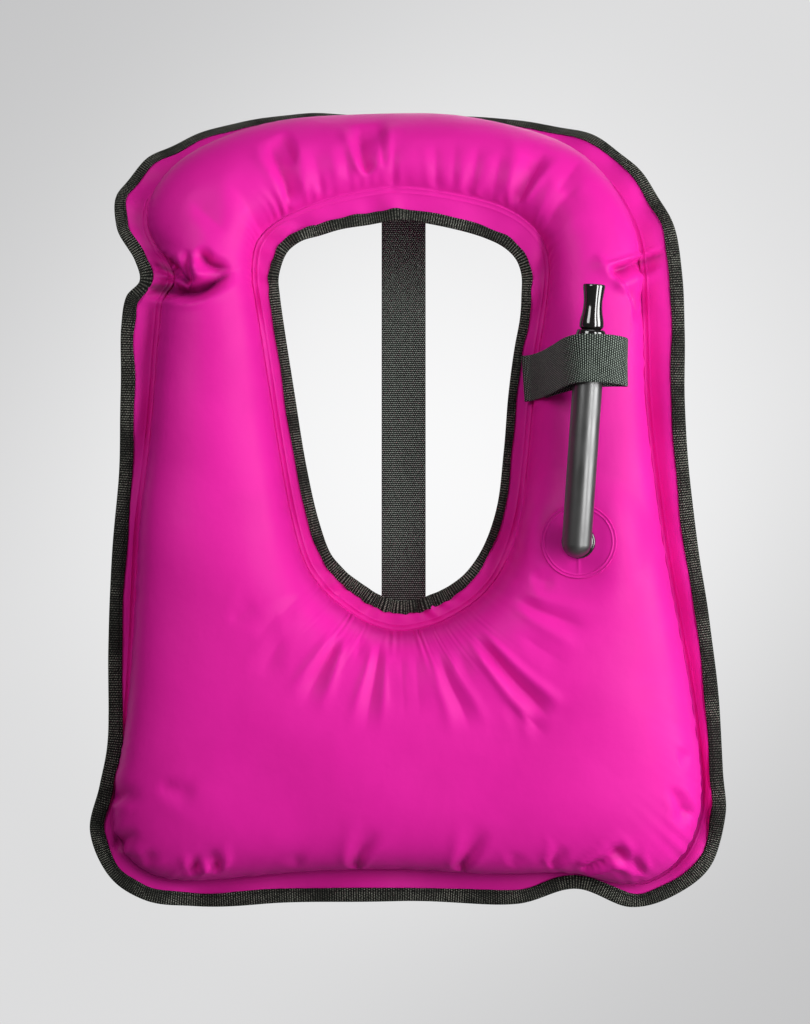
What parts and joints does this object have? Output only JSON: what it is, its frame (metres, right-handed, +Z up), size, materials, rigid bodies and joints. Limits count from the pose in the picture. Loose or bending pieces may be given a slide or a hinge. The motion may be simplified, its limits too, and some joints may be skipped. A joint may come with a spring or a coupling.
{
  "type": "inflatable_life_jacket",
  "caption": "Horse-collar inflatable jacket in coated fabric with bound welded edges, an oral inflation hose with press valve, a back strap and a waist belt with side-release buckle",
  "frame": {"origin": "middle of the collar's inner edge, where the jacket hangs on the neck", "axes": "+Z up as worn, -Y away from the wearer, +X to the right seen from the front"},
  "size_m": [0.4471, 0.1752, 0.5667],
  "materials": {
    "coated_nylon": "satin, radio-frequency weldable coating",
    "woven_tape": "ribbed woven polyester",
    "webbing": "woven polypropylene",
    "hose_rubber": "satin",
    "gloss_black": "polished moulding",
    "moulded_black": "fine moulded texture",
    "flexible_vinyl": "flexible vinyl sheet",
    "spring_steel": "drawn wire"
  },
  "bodies": {
    "jacket": {"front_panel": "coated_nylon", "back_panel": "coated_nylon", "outer_binding": "woven_tape", "neck_binding": "woven_tape", "valve_patch": "coated_nylon", "flange_backing": "flexible_vinyl", "valve_flange": "moulded_black", "swivel_seal": "hose_rubber", "hose_keeper": "webbing", "back_strap": "webbing", "belt_left": "webbing", "belt_right": "webbing", "buckle_socket": "moulded_black", "buckle_plug": "moulded_black"},
    "oral_hose": {"inflator_hose": "hose_rubber", "valve_body": "moulded_black", "valve_spring": "spring_steel"},
    "locking_ring": {"lock_ring": "gloss_black"},
    "press_valve": {"mouthpiece": "gloss_black", "valve_stem": "moulded_black", "valve_disc": "hose_rubber", "valve_o_ring": "hose_rubber"},
    "upper_prong": {"buckle_prong_upper": "moulded_black"},
    "lower_prong": {"buckle_prong_lower": "moulded_black"},
    "belt_tail_band": {"tail_keeper": "webbing"}
  },
  "joints": [
    {"name": "hose_swivel", "type": "hinge", "parent": "jacket", "child": "oral_hose", "pos_m": [0.1163, -0.0665, -0.2203], "axis": [0.1558, 0.9877, -0.0101], "range_deg": [-1.2, 4]},
    {"name": "mouthpiece_press", "type": "slide", "parent": "oral_hose", "child": "press_valve", "axis": [-0.0645, 0, -0.9979], "range_m": [0, 0.004], "stiffness_N_per_m": 600, "springref_m": -0.001, "deforming": ["valve_spring"]},
    {"name": "lock_ring_turn", "type": "hinge", "parent": "oral_hose", "child": "locking_ring", "pos_m": [0.12534, -0.0665, -0.08059], "axis": [0.0645, 0, 0.9979], "range_deg": [0, 90]},
    {"name": "upper_prong_squeeze", "type": "hinge", "parent": "jacket", "child": "upper_prong", "pos_m": [0.0884, 0.0575, -0.3505], "axis": [0, 1, 0], "range_deg": [-8, 0], "stiffness_Nm_per_rad": 2},
    {"name": "lower_prong_squeeze", "type": "hinge", "parent": "jacket", "child": "lower_prong", "pos_m": [0.0884, 0.0575, -0.3735], "axis": [0, 1, 0], "range_deg": [0, 8], "stiffness_Nm_per_rad": 2},
    {"name": "tail_keeper_slide", "type": "slide", "parent": "jacket", "child": "belt_tail_band", "axis": [1, 0, 0], "range_m": [0, 0.008]}
  ],
  "couplings": [
    {"joint": "lower_prong_squeeze", "follows": "upper_prong_squeeze", "ratio": -1}
  ]
}
